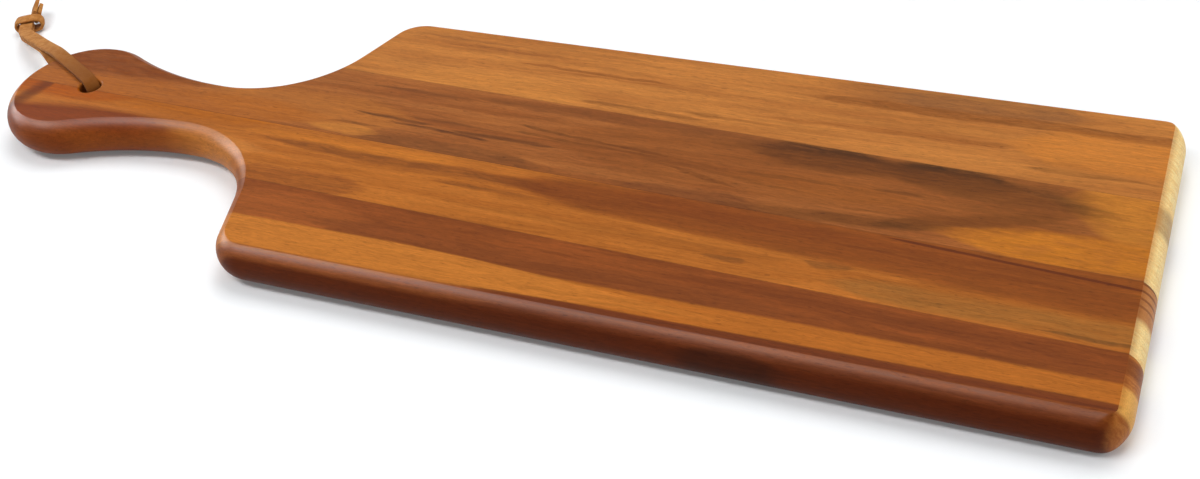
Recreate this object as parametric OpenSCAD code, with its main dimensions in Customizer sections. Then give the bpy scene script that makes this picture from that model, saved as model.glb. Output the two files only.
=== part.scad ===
// Paddle charcuterie board: four edge-glued hardwood staves with a rounded rim, and a leather lace
// knotted through a hole in the handle. Millimetres, +Z up, length along X with the handle at -X.
// The origin is the middle of the board's length, width and thickness.

/* [Board] */
// Length from the end of the handle to the far end of the blade
board_l = 508; // [450:1:620]
// Width of the blade
board_w = 178; // [150:1:220]
// Thickness of the staves
board_t = 18; // [15:0.5:22]
// How far in from the rim's widest line its rounding meets the flat faces
rim_inset = 5.5; // [3:0.5:7.5]
// Radius of the two corners at the far end of the blade, seen from above
end_corner_r = 14; // [12:0.5:40]
// Radius of the same two corners where the rim's rounding meets the flat faces
flat_corner_r = 3; // [1:0.5:6]
// Radius of the two shoulders where the blade turns to the handle, seen from above
shoulder_r = 18; // [12:0.5:24]
// Slope of the shoulders' straight flank, from the board's length
flank_a = 73; // [62:1:80]

/* [Handle] */
// Width of the neck at its narrowest
neck_w = 40; // [34:1:46]
// Radius of the hollow from the neck out to the shoulder
sweep_r = 49; // [40:1:56]
// Radius of the hollow from the neck out to the bulb
flare_r = 134; // [90:1:180]
// Width of the bulb that ends the handle
bulb_w = 71; // [60:1:80]
// Distance from the end of the handle to the middle of the lace hole
hole_inset = 40; // [34:1:50]
// Diameter of the lace hole
hole_d = 10; // [9.5:0.5:13]
// Bevel that eases the hole's two mouths
mouth_bevel = 1; // [0.5:0.25:2]

/* [Staves] */
// Width of the stave behind the centre seam
centre_back_w = 47; // [42:1:60]
// Width of the stave in front of the centre seam
centre_front_w = 38; // [32:1:50]
// How far the centre seam lies in front of the middle of the board
seam_shift = 9; // [0:0.5:14]
// Turn of the seams from the board's length, as the blank lay askew when the outline was cut
seam_a = 1.7; // [0:0.1:3]

/* [Lace] */
// Width of the leather lace
lace_w = 6.5; // [4:0.5:7]
// Thickness of the lace
lace_t = 1.8; // [1.2:0.1:1.8]
// Bevel along the lace's four cut edges
lace_bevel = 0.3; // [0.1:0.05:0.4]
// Direction in which the loop lies, from the handle's own direction towards the back
lace_a = 31; // [0:1:80]
// Width of the knot across the lace
knot_w = 15; // [13:0.5:18]
// Height of the knot
knot_h = 8; // [8:0.25:10]
// Length of the knot along the lace
knot_l = 6.5; // [6:0.5:12]
// Length of the longer of the two ends past the knot
long_tail_l = 13; // [8:0.5:30]
// Length of the shorter one
short_tail_l = 10; // [6:0.5:25]

/* [Hidden] */

half_l = board_l / 2;
half_w = board_w / 2;
half_t = board_t / 2;
half_neck = neck_w / 2;
half_bulb = bulb_w / 2;
// Radius of the rim's rounding, and how far it turns on each side of the rim's widest line
rim_r = (rim_inset ^ 2 + half_t ^ 2) / (2 * rim_inset);
rim_a = asin(half_t / rim_r);
// Straight steps in half of the rim's section, and the longest step along the outline's arcs
rim_steps = 6;
arc_step = 3;
// Steps in the short stretch of the hollow that the outer staves have
outer_sweep_steps = 5;
// How far a cut runs past what it cuts
over = 1;

// The bulb's cheeks and its blunt end, as shares of half its width
cheek_share = 0.9;
tip_share = 1.07;
cheek_r = half_bulb * cheek_share;
tip_r = half_bulb * tip_share;

// Middles of the outline's arcs on the back half, from the end of the handle to the shoulder
tip_c = [tip_r - half_l, 0];
cheek_y = half_bulb - cheek_r;
cheek_c = [tip_c.x - sqrt((tip_r - cheek_r) ^ 2 - cheek_y ^ 2), cheek_y];
flare_y = half_neck + flare_r;
neck_x = cheek_c.x + sqrt((flare_r + cheek_r) ^ 2 - (flare_y - cheek_y) ^ 2);
flare_c = [neck_x, flare_y];
sweep_c = [neck_x, half_neck + sweep_r];
// Length of the shoulder's straight flank, between the hollow and the shoulder's own radius
flank_l = (half_w - half_neck - (sweep_r + shoulder_r) * (1 - cos(flank_a))) / sin(flank_a);
shoulder_c = sweep_c + (sweep_r + shoulder_r) * [sin(flank_a), -cos(flank_a)]
             + flank_l * [cos(flank_a), sin(flank_a)];

// Directions in which the bulb's arcs meet
tip_a = atan2(cheek_c.y, cheek_c.x - tip_c.x);
cheek_a = atan2(flare_c.y - cheek_c.y, flare_c.x - cheek_c.x);

// Steps round the end of the handle, its cheek and the hollow next to it
tip_steps = steps_for(tip_r, 180 - tip_a);
cheek_steps = steps_for(cheek_r, tip_a - cheek_a);
flare_steps = steps_for(flare_r, 90 - cheek_a);

hole_x = hole_inset - half_l;

// Lace: the room left round it, and how far its middle lies from the wood when it lies against it.
// Its heights are measured from the underside.
lace_gap = 0.3;
lace_lie = lace_gap + lace_t / 2;
// Height of the bottom of the lace, which is what the handle's end rests on
lace_low = -lace_gap - lace_t;
// From one strand's middle to the other's where they lie one on the other
lace_pair = lace_t + lace_gap;
// The knot's turn from the loop's direction, and the strands' middle in it: past the rim along the
// loop, and across it
knot_a = 27;
knot_past = 70.7;
knot_across = 6.4;
// How far to the side of the strands the turn of the knot lies
turn_shift = 0.8;
// Where the two ends leave the knot: to that side and above its middle. Then the room between them,
// and how far they lean over from standing on edge.
tail_shift = 3.9;
tail_rise = 1.5;
tail_room = 0.4;
tail_lean = 36;
// How far to the side of its middle the lace passes through the hole
hole_side = 1.2;
// Heights of the middles of the two strands where they lie in the knot
knot_low = lace_low + lace_t + lace_gap + lace_t / 2;
knot_high = knot_low + lace_pair;

// The widest line of the handle's end, along the loop from the hole
hole_off = hole_inset - tip_r;
rim_along = hole_off * cos(lace_a) + sqrt(tip_r ^ 2 - (hole_off * sin(lace_a)) ^ 2);
knot_along = past_rim(knot_past);

// Routes, chosen by hand: along and across the loop from the hole, height above the underside, and
// turn in plan. First the upper strand where both lie one on the other, from past the rim on.
pair_route = [[past_rim(25.3), 0, 0.705 * board_t, 0], [past_rim(32.3), 0, 0.62 * board_t, 0],
              [past_rim(38.3), 0, 0.555 * board_t, 0], [past_rim(46.3), 0, 0.455 * board_t, 2],
              [past_rim(52.3), 0.3, 0.36 * board_t, 4], [past_rim(58.3), 1.25, 0.27 * board_t, 11],
              [past_rim(63.3), 2.85, knot_high + 0.5, 19], [past_rim(67.5), 4.77, knot_high, 26],
              [knot_along, knot_across, knot_high, knot_a]];
// Upper strand, over the handle's end
upper_route = concat(
    [[0, hole_side, half_t, 0], [0, hole_side, board_t - 6, 0], [0, hole_side, board_t - 4, 0],
     [0.8, hole_side, board_t - 1.4, 0], [2.8, hole_side, board_t + 0.6, 0],
     [6, 0.95 * hole_side, board_t + 1.3, -1], [14, 0.65 * hole_side, board_t + 1.4, -2],
     [24, 0.3 * hole_side, board_t + 1.3, -2], [past_rim(-5.7), 0, board_t + 1.3, -1],
     [past_rim(0.3), 0, board_t + 0.6, 0], [past_rim(7.3), 0, 0.945 * board_t, 0],
     [past_rim(15.3), 0, 0.835 * board_t, 0]],
    pair_route);
// Lower strand, under the handle's end and up round its rim
lower_route = concat(
    [[0, hole_side, half_t, 0], [0, hole_side, 6, 0], [0, hole_side, 4, 0],
     [0.8, hole_side, 1.3, 0], [3, hole_side, -0.8, 0], [6, 0.9 * hole_side, -lace_lie, -2],
     [18, 0.3 * hole_side, -lace_lie, -2], [past_rim(-9.7), 0, -lace_lie, 0],
     [past_rim(-5.7), 0, -lace_lie, 0], [past_rim(-3.7), 0, 0.3 - lace_lie, 0],
     [past_rim(-0.7), 0, 0.03 * board_t, 0], [past_rim(3.3), 0, 0.17 * board_t, 0],
     [past_rim(9.3), 0, 0.38 * board_t, 0], [past_rim(15.3), 0, 0.53 * board_t, 0],
     [past_rim(20.3), 0, 0.61 * board_t, 0]],
    [for (p = pair_route) [p[0], p[1], p[2] - lace_pair, p[3]]]);

// Points on an arc from one direction to another
function arc(centre, r, from, to, steps) =
    [for (i = [0:steps]) centre + r * [cos(from + (to - from) * i / steps),
                                       sin(from + (to - from) * i / steps)]];
function steps_for(r, angle) = ceil(r * abs(angle) * PI / 180 / arc_step);
function past_rim(d) = rim_along + d;
function without_last(list) = [for (i = [0:len(list) - 2]) list[i]];

// A seam is a line at one distance across the grain. It is given by its turn from the board's
// length, the shift of the centre seam towards the front, and that distance.
function seam_y(x, turn, shift, across) = (across - x * sin(turn)) / cos(turn) - shift;

// Direction in which a seam crosses a circle, on its near (-1) or far (1) side along the board
function seam_meets(centre, r, turn, shift, across, side) =
    let (off = centre.x * sin(turn) + (centre.y + shift) * cos(turn) - across,
         along = side * sqrt(r ^ 2 - off ^ 2))
    atan2(-off * cos(turn) - along * sin(turn), -off * sin(turn) + along * cos(turn));

// Outline of a centre stave drawn in by a distance: round the handle from the centre seam to the
// hollow where the outer seam meets it, and straight along both seams to the far end
function centre_ring(inset, turn, shift, across) =
    let (start = (360 + seam_meets(tip_c, tip_r - inset, turn, shift, 0, -1)) % 360,
         stop = 360 + seam_meets(sweep_c, sweep_r + inset, turn, shift, across, 1),
         end_x = half_l - inset)
    concat(
        without_last(arc(tip_c, tip_r - inset, start, tip_a, tip_steps)),
        without_last(arc(cheek_c, cheek_r - inset, tip_a, cheek_a, cheek_steps)),
        without_last(arc(flare_c, flare_r + inset, 180 + cheek_a, 270, flare_steps)),
        arc(sweep_c, sweep_r + inset, 270, stop, steps_for(sweep_r, flank_a)),
        [[end_x, seam_y(end_x, turn, shift, across)], [end_x, seam_y(end_x, turn, shift, 0)]]);

// Outline of an outer stave drawn in by a distance: from the hollow round the shoulder and the far
// corner to the far end, and straight back along its seam
function outer_ring(inset, turn, shift, across) =
    let (start = 360 + seam_meets(sweep_c, sweep_r + inset, turn, shift, across, 1),
         end_x = half_l - inset,
         corner_r = end_corner_r - (end_corner_r - flat_corner_r) * inset / rim_inset,
         corner_c = [end_x - corner_r, half_w - inset - corner_r])
    concat(
        arc(sweep_c, sweep_r + inset, start, 270 + flank_a, outer_sweep_steps),
        arc(shoulder_c, shoulder_r - inset, 90 + flank_a, 90, steps_for(shoulder_r, flank_a)),
        arc(corner_c, corner_r, 90, 0, steps_for(end_corner_r, 90)),
        [[end_x, seam_y(end_x, turn, shift, across)]]);

// Rim section: how far in and how high each ring of points lies, from the underside to the top
rim_section = [for (i = [-rim_steps:rim_steps]) let (a = rim_a * i / rim_steps)
    [rim_r * (1 - cos(a)), half_t + rim_r * sin(a)]];

// Triangles that fill a ring: a fan from its first point as far as the waist, and one from its last
// point past the waist. They also fill a ring that is hollow on both sides of its waist.
function ring_fill(n, waist) = concat(
    [for (i = [1:1:waist - 1]) [0, i, i + 1]],
    [[0, waist, n - 1]],
    [for (i = [waist:n - 3]) [n - 1, i, i + 1]]);

// Solid through rings of points that run clockwise, seen from the last ring, and have one count
module loft(rings, waist = 1) {
    n = len(rings[0]);
    last = len(rings) - 1;
    fill = ring_fill(n, waist);
    polyhedron(
        points = [for (ring = rings) each ring],
        faces = concat(
            [for (f = fill) [f[2], f[1], f[0]]],
            [for (k = [0:last - 1], i = [0:n - 1]) let (a = k * n + i, b = k * n + (i + 1) % n)
                each [[a, b, b + n], [a, b + n, a + n]]],
            [for (f = fill) [for (i = f) last * n + i]]));
}

// Places what is drawn up from the underside
module from_underside() {
    translate([0, 0, -half_t]) children();
}

module lace_hole() {
    translate([hole_x, 0, -over]) cylinder(h = board_t + 2 * over, d = hole_d, $fn = 64);
}

// Bevel round the hole's mouth in the underside
module mouth() {
    reach = mouth_bevel + over;
    wide_r = hole_d / 2 + reach;
    translate([hole_x, 0, -over]) cylinder(h = 2 * reach, r1 = wide_r, r2 = wide_r - 2 * reach, $fn = 64);
}

// The staves are lofted up the rim's section. The front ones are drawn behind the middle and then
// mirrored, so their seams turn and shift the other way.
module centre_stave(turn, shift, across) {
    from_underside() difference() {
        difference() {
            loft([for (s = rim_section) [for (p = centre_ring(s[0], turn, shift, across)) [p.x, p.y, s[1]]]],
                 waist = tip_steps + cheek_steps + flare_steps);
            lace_hole();
        }
        mouth();
        translate([0, 0, board_t]) mirror([0, 0, 1]) mouth();
    }
}

module outer_stave(turn, shift, across) {
    from_underside()
        loft([for (s = rim_section) [for (p = outer_ring(s[0], turn, shift, across)) [p.x, p.y, s[1]]]]);
}

// Section of the lace across and through its thickness, with bevelled edges
function lace_section() = let (w = lace_w / 2, t = lace_t / 2, b = lace_bevel)
    [[w, b - t], [w - b, -t], [b - w, -t], [-w, b - t], [-w, t - b], [b - w, t], [w - b, t], [w, t - b]];

// Direction of a route at one of its points
function heading(route, i) = let (a = route[max(i - 1, 0)], b = route[min(i + 1, len(route) - 1)],
                                  d = [b[0] - a[0], b[1] - a[1], b[2] - a[2]]) d / norm(d);

// Rings of the flat lace along a route whose points give along, across, up and the turn in plan
function lace_rings(route) = [for (i = [0:len(route) - 1])
    let (p = route[i], wide = [-sin(p[3]), cos(p[3]), 0],
         raw = cross(heading(route, i), wide), thick = raw / norm(raw))
    [for (s = lace_section()) [p[0], p[1], p[2]] + s[0] * wide + s[1] * thick]];

// Places what is drawn along and across the loop: from the hole's lower mouth, in its direction
module on_loop() {
    from_underside() translate([hole_x, 0, 0]) rotate(180 - lace_a) mirror([0, 1, 0]) children();
}

// Places what is drawn in the knot's own frame: X along the knot, from its middle
module in_knot() {
    on_loop() translate([knot_along, knot_across, 0]) rotate(knot_a) children();
}

// A flat oval that lies along Y when the knot stands on its edge
module oval(w, h) {
    square([h, w - h], center = true);
    for (side = [-1, 1])
        translate([0, side * (w - h) / 2]) circle(d = h, $fn = 48);
}

module stave_back() {
    color("#c98a45") outer_stave(seam_a, seam_shift, centre_back_w);
}

module stave_centre_back() {
    color("#a8662f") centre_stave(seam_a, seam_shift, centre_back_w);
}

module stave_centre_front() {
    color("#b9762f") mirror([0, 1, 0]) centre_stave(-seam_a, -seam_shift, centre_front_w);
}

module stave_front() {
    color("#8a4a24") mirror([0, 1, 0]) outer_stave(-seam_a, -seam_shift, centre_front_w);
}

// Strand from the middle of the hole, over the handle's end and down into the knot
module lace_upper() {
    color("#b98a4c") on_loop() loft(lace_rings(upper_route));
}

// Strand from the middle of the hole, under the handle, up to the other strand and along it
module lace_lower() {
    color("#a97b42") on_loop() loft(lace_rings(lower_route));
}

// The turn of the knot that wraps both strands
module lace_knot() {
    color("#a56f3c") in_knot() translate([-knot_l / 2, turn_shift, lace_low + knot_h / 2])
        rotate([0, 90, 0]) linear_extrude(knot_l) difference() {
            oval(knot_w, knot_h);
            oval(knot_w - 2 * lace_t, knot_h - 2 * lace_t);
        }
}

// The two cut ends past the knot, side by side and leaning over
module lace_tails() {
    color("#8f5f33") in_knot() translate([knot_l / 2, tail_shift, lace_low + knot_h / 2 + tail_rise])
        rotate([-tail_lean, 0, 0]) for (side = [-1, 1])
            translate([0, side * (tail_room + lace_t) / 2 - lace_t / 2, -lace_w / 2])
                cube([side > 0 ? short_tail_l : long_tail_l, lace_t, lace_w]);
}

stave_back();
stave_centre_back();
stave_centre_front();
stave_front();
lace_upper();
lace_lower();
lace_knot();
lace_tails();
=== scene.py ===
# %% [markdown]
# # Paddle charcuterie board
# A long serving board of four wooden staves, glued edge to edge, with a waisted handle and a leather
# lace knotted through a hole in it. The solids that carry it come from the packed frame. This lesson
# gives them their looks: the wood of each stave, the leather, the table, the light and the camera.
# Everything is in metres, in the frame's own axes: X along the board with the handle at -X, +Y to the
# back, +Z up, and the origin in the middle of the wood.

# %% Load the packed frame
import math

import bmesh
import bpy
from mathutils import Matrix, Vector


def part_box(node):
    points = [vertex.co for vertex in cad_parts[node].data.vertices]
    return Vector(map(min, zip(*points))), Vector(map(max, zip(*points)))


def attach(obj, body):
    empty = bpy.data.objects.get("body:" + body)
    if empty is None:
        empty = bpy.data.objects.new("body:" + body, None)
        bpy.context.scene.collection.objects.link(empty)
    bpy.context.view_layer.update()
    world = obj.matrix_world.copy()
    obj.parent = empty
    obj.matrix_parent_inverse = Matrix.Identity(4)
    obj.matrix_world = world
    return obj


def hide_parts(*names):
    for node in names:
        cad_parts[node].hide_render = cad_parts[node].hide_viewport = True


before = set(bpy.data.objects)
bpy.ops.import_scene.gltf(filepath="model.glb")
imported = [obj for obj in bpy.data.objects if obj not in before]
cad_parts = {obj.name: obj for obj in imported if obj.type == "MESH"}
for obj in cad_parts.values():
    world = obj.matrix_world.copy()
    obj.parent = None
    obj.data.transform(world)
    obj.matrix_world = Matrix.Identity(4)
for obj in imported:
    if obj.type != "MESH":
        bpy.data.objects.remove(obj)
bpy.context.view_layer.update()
MM = 0.001

# %% [markdown]
# ## The camera
# The photograph looks down on the board from its front right, with a medium lens and a slight roll.
# The camera's place, aim, roll and lens were found by laying the board's outline over the
# photograph until the two met within a pixel. Aiming at a point and then rolling keeps the numbers
# readable, which a bare rotation matrix would not.

# %% Place the camera
CAMERA_PLACE = Vector((260.5, -458.2, 373.0)) * MM
CAMERA_AIM = Vector((55.7, -43.7, 9.0)) * MM
CAMERA_ROLL = math.radians(-7.03)
CAMERA_LENS = 46.87
SENSOR_WIDTH = 36.0
NEAREST_SEEN = 0.01
FURTHEST_SEEN = 20

camera = bpy.data.objects.new("camera", bpy.data.cameras.new("camera"))
bpy.context.scene.collection.objects.link(camera)
camera.data.sensor_width = SENSOR_WIDTH
camera.data.lens = CAMERA_LENS
camera.data.clip_start = NEAREST_SEEN
camera.data.clip_end = FURTHEST_SEEN
camera.rotation_mode = "QUATERNION"
camera.location = CAMERA_PLACE
aimed = (CAMERA_AIM - CAMERA_PLACE).to_track_quat("-Z", "Y").to_matrix()
camera.rotation_quaternion = (aimed @ Matrix.Rotation(CAMERA_ROLL, 3, "Z")).to_quaternion()
bpy.context.scene.camera = camera
print("camera stands", round((CAMERA_PLACE - CAMERA_AIM).length / MM), "mm from its aim")

# %% [markdown]
# ## Sizes of the board
# The three overall sizes are read from the frame, so that the pieces made here can't drift away
# from the solids. The radii of the outline are the maker's own choices, and are given by name.

# %% Take the board's sizes from the frame
HALF_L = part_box("stave_centre_back")[1].x
HALF_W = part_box("stave_back")[1].y
HALF_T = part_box("stave_back")[1].z
HALF_NECK = 20 * MM
HALF_BULB = 35.5 * MM
SWEEP_R = 49 * MM
FLARE_R = 134 * MM
SHOULDER_R = 18 * MM
# Radii of the far corners, at the rim's widest line and where the flat faces begin
CORNER_R = 14 * MM
FLAT_CORNER_R = 3 * MM
CHEEK_R = HALF_BULB * 0.9
TIP_R = HALF_BULB * 1.07
FLANK = math.radians(73)
RIM_INSET = 5.5 * MM
RIM_R = (RIM_INSET ** 2 + HALF_T ** 2) / (2 * RIM_INSET)
HOLE_FROM_TIP = 40 * MM
HOLE = Vector((HOLE_FROM_TIP - HALF_L, 0, 0))
HOLE_R = 5 * MM
print("board:", round(2 * HALF_L / MM), "x", round(2 * HALF_W / MM), "x", round(2 * HALF_T / MM), "mm")

# %% [markdown]
# ## The lace's route
# The lace is one flat leather strap. It goes through the hole, and its two strands run off
# together and meet in a knot that lies on the table. Each strand follows a short list of given points:
# how far along the loop, how far across it, how high above the board's underside,
# and the turn in plan. They are the same points as those of the solids. A smooth curve is drawn
# through them, because real leather never bends at a corner.

# %% Chosen points of the two strands
LACE_W = 6.5 * MM
LACE_T = 1.8 * MM
# Which way the loop runs off in plan, and how far the lower strand lies under the upper one
LOOP_TURN = math.radians(149)
PAIR_STEP = 2.1
PAIR_ROUTE = [(65, 0, 12.7, 0), (72, 0, 11.2, 0), (78, 0, 10, 0), (86, 0, 8.2, 2), (92, 0.3, 6.5, 4),
              (98, 1.25, 4.9, 11), (103, 2.85, 3.5, 19), (107.2, 4.77, 3, 26), (110.4, 6.4, 3, 27)]
UPPER_ROUTE = [(0, 1.2, 9, 0), (0, 1.2, 12, 0), (0, 1.2, 14, 0), (0.8, 1.2, 16.6, 0),
               (2.8, 1.2, 18.6, 0), (6, 1.1, 19.3, -1), (14, 0.8, 19.4, -2), (24, 0.4, 19.3, -2),
               (34, 0, 19.3, -1), (40, 0, 18.6, 0), (47, 0, 17, 0), (55, 0, 15, 0)] + PAIR_ROUTE
LOWER_ROUTE = [(0, 1.2, 9, 0), (0, 1.2, 6, 0), (0, 1.2, 4, 0), (0.8, 1.2, 1.3, 0), (3, 1.2, -0.8, 0),
               (6, 1.1, -1.2, -2), (18, 0.4, -1.2, -2), (30, 0, -1.2, 0), (34, 0, -1.2, 0),
               (36, 0, -0.9, 0), (39, 0, 0.5, 0), (43, 0, 3.1, 0), (49, 0, 6.8, 0),
               (55, 0, 9.5, 0), (60, 0, 11, 0)]
LOWER_ROUTE += [(along, across, height - PAIR_STEP, turn) for along, across, height, turn in PAIR_ROUTE]


def on_loop(along, across, height):
    """A point given along and across the loop and above the underside, in millimetres."""
    plan = Vector((along, -across, 0)) * MM
    plan.rotate(Matrix.Rotation(LOOP_TURN, 3, "Z"))
    return HOLE + plan + Vector((0, 0, height * MM - HALF_T))


def wide_way(turn):
    """The direction across the lace, level, where it is turned by that many degrees in plan."""
    plan = Vector((-math.sin(math.radians(turn)), -math.cos(math.radians(turn)), 0))
    plan.rotate(Matrix.Rotation(LOOP_TURN, 3, "Z"))
    return plan


# %% [markdown]
# ## From points to a smooth line
# Leather bends evenly, so the strap's line has to pass through every chosen point without a kink. A
# curve object could do that, but it would choose the strap's twist by itself. A short formula over
# four neighbouring points gives the place and the turn in plan together, and can be read here.

# %% Draw a smooth line through a strand's points
def through(points, share):
    """A point on the smooth curve between the middle two of four points."""
    a, b, c, d = points
    return [0.5 * (2 * b[k] + (c[k] - a[k]) * share
                   + (2 * a[k] - 5 * b[k] + 4 * c[k] - d[k]) * share ** 2
                   + (3 * b[k] - a[k] - 3 * c[k] + d[k]) * share ** 3) for k in range(len(b))]


def smooth_route(route, steps):
    """The route's points with smooth ones added between them."""
    padded = [route[0]] + list(route) + [route[-1]]
    line = []
    for i in range(len(route) - 1):
        line += [through(padded[i:i + 4], s / steps) for s in range(steps)]
    return line + [list(route[-1])]


def length_of(points):
    """The length of a line through points."""
    return sum((b - a).length for a, b in zip(points, points[1:]))


STRAND_STEPS = 4
upper_line = smooth_route(UPPER_ROUTE, STRAND_STEPS)
lower_line = smooth_route(LOWER_ROUTE, STRAND_STEPS)
upper_path = [on_loop(*p[:3]) for p in upper_line]
lower_path = [on_loop(*p[:3]) for p in lower_line]
print("upper strand", round(length_of(upper_path) / MM, 1), "mm, lower strand",
      round(length_of(lower_path) / MM, 1), "mm")

# %% [markdown]
# ## Cutting the leather
# A strap is a flat section carried along its line. The section has softly rounded edges, as cut
# leather gets after a little use, and a face that is slightly crowned. At each step it is set square
# to the line, with its wide side level, so that the strap lies flat on the wood and on the table.

# %% Helpers that make a strap
def mesh_from(name, bm):
    """A finished mesh from the one being worked on."""
    mesh = bpy.data.meshes.new(name)
    bm.to_mesh(mesh)
    bm.free()
    return mesh


def link(name, mesh):
    """An object for a mesh, in the scene's collection."""
    piece = bpy.data.objects.new(name, mesh)
    bpy.context.scene.collection.objects.link(piece)
    return piece


def strap_section(width, thick, round_r, crown, corner_steps=4):
    """Points round a flat section with rounded corners, across first and through second."""
    points = []
    for corner, (side, face) in enumerate([(1, 1), (-1, 1), (-1, -1), (1, -1)]):
        for s in range(corner_steps + 1):
            turn = math.radians(90 * (corner + s / corner_steps))
            across = side * (width / 2 - round_r) + round_r * math.cos(turn)
            through_it = face * (thick / 2 - round_r) + round_r * math.sin(turn)
            points.append((across, through_it))
        if side * face > 0:
            points.append((0, face * (thick / 2 + crown)))
    return points


def ring_mesh(name, rings, closed=False):
    """A mesh of quads through rings of points, closed by a face at both ends or joined to itself."""
    bm = bmesh.new()
    verts = [[bm.verts.new(p) for p in ring] for ring in rings]
    count = len(verts[0])
    following = verts[1:] + verts[:1] if closed else verts[1:]
    for a, b in zip(verts, following):
        for i in range(count):
            j = (i + 1) % count
            bm.faces.new((a[i], a[j], b[j], b[i]))
    if not closed:
        bm.faces.new(list(reversed(verts[0])))
        bm.faces.new(verts[-1])
    bmesh.ops.recalc_face_normals(bm, faces=bm.faces)
    return mesh_from(name, bm)


def strap_rings(path, wides, width, thick, round_r, crown):
    """Sections set along a path, each square to it."""
    rings = []
    for i, (place, wide) in enumerate(zip(path, wides)):
        ahead = path[min(i + 1, len(path) - 1)] - path[max(i - 1, 0)]
        out = ahead.cross(wide).normalized()
        side = out.cross(ahead).normalized()
        rings.append([place + side * u + out * v for u, v in strap_section(width, thick, round_r, crown)])
    return rings


def soften(piece, degrees=40):
    """Smooth shading, but for the edges that turn by more than the given angle."""
    piece.data.shade_smooth()
    piece.data.set_sharp_from_angle(angle=math.radians(degrees))
    return piece


# %% [markdown]
# ## The two strands
# On the real board they are one strap, whose two halves run from the hole to the knot. Here they are
# two pieces that meet in the middle of the hole, so that each can follow its own route: one over the
# wood and one under it. Both ride on the lace's body, so they swing with the knot.

# %% Make the two strands
LACE_ROUND = 0.35 * MM
LACE_CROWN = 0.04 * MM


def make_strand(name, line, path):
    """One strand of the lace, with its wide side turned as its route says."""
    wides = [wide_way(turn) for *_, turn in line]
    rings = strap_rings(path, wides, LACE_W, LACE_T - 2 * LACE_CROWN, LACE_ROUND, LACE_CROWN)
    strand = soften(link(name, ring_mesh(name, rings)))
    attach(strand, "lace")
    return strand


upper_strand = make_strand("upper_strand", upper_line, upper_path)
lower_strand = make_strand("lower_strand", lower_line, lower_path)
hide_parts("lace_upper")
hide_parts("lace_lower")
print("strands made of", len(upper_path), "and", len(lower_path), "sections")

# %% [markdown]
# ## The knot
# Both strands pass through one tight turn of the same leather. It could be one strap wound through
# itself, but most of that would be hidden inside. So the turn is a strap section carried round a
# flat oval and joined to itself, with faces that bulge as a tightly pulled strap does.

# %% Wind the turn of the knot
KNOT_ALONG, KNOT_ACROSS, _, KNOT_TURN = PAIR_ROUTE[-1]
TURN_SHIFT = 0.8 * MM
KNOT_W = 15 * MM
KNOT_H = 8 * MM
KNOT_L = 6.5 * MM
KNOT_ROUND = 0.55 * MM
KNOT_CROWN = 0.3 * MM
# Where the lace is lowest, in millimetres from the board's underside
LACE_LOW = -2.1
knot_place = on_loop(KNOT_ALONG, KNOT_ACROSS, LACE_LOW)
knot_side = wide_way(KNOT_TURN)
knot_way = Vector((0, 0, 1)).cross(knot_side).normalized()
if knot_way.dot(knot_place - HOLE) < 0:
    knot_way = -knot_way


def in_knot(along, across, height):
    """A point in the knot's own directions, from the middle of its foot."""
    return knot_place + knot_way * along + knot_side * across + Vector((0, 0, height))


# How flat the long sides of the knot's oval are: more is flatter
OVAL_FLATNESS = 3


def oval_point(share, width, height):
    """A point round a flat oval, by the share of a full turn."""
    turn = 2 * math.pi * share
    flat = width - height
    across = height / 2 * math.cos(turn) + flat / 2 * math.tanh(OVAL_FLATNESS * math.cos(turn))
    return across, height / 2 * math.sin(turn)


WRAP_STEPS = 72
knot_rings = []
for step in range(WRAP_STEPS):
    across, up = oval_point(step / WRAP_STEPS, KNOT_W - LACE_T, KNOT_H - LACE_T)
    ahead_across, ahead_up = oval_point((step + 1) / WRAP_STEPS, KNOT_W - LACE_T, KNOT_H - LACE_T)
    out = Vector((ahead_up - up, across - ahead_across, 0)).normalized()
    ring = []
    for u, v in strap_section(KNOT_L, LACE_T - 2 * KNOT_CROWN, KNOT_ROUND, KNOT_CROWN):
        ring.append(in_knot(u, TURN_SHIFT + across + out.x * v, KNOT_H / 2 + up + out.y * v))
    knot_rings.append(ring)
knot = soften(link("knot_turn", ring_mesh("knot_turn", knot_rings, closed=True)))
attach(knot, "lace")
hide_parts("lace_knot")
print("knot stands", round((knot_place - HOLE).length / MM), "mm from the hole")

# %% [markdown]
# ## The two cut ends
# The strap's ends stand out of the knot side by side and lean over together, as stiff strips do when
# a knot pinches them. Each is a straight run of the strap's own section, closed by a flat cut. With
# them every piece of the lace is made.

TAIL_SHIFT = 3.9 * MM
TAIL_RISE = 1.5 * MM
TAIL_ROOM = 0.4 * MM
TAIL_LEAN = math.radians(36)
LONG_TAIL = 13 * MM
SHORT_TAIL = 10 * MM
TAIL_STEPS = 8


def make_tail(name, side, length):
    """One cut end, on one side of the other, sticking out of the knot by a length."""
    rings = []
    for s in range(TAIL_STEPS + 1):
        ring = []
        for u, v in strap_section(LACE_W, LACE_T, LACE_ROUND, LACE_CROWN):
            beside = side * (TAIL_ROOM + LACE_T) / 2 + v
            across = TAIL_SHIFT + beside * math.cos(TAIL_LEAN) + u * math.sin(TAIL_LEAN)
            height = KNOT_H / 2 + TAIL_RISE - beside * math.sin(TAIL_LEAN) + u * math.cos(TAIL_LEAN)
            ring.append(in_knot(KNOT_L / 2 + length * s / TAIL_STEPS, across, height))
        rings.append(ring)
    tail = soften(link(name, ring_mesh(name, rings)))
    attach(tail, "lace")
    return tail


long_tail = make_tail("long_end", -1, LONG_TAIL)
short_tail = make_tail("short_end", 1, SHORT_TAIL)
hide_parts("lace_tails")
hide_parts("lace_tails")

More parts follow.
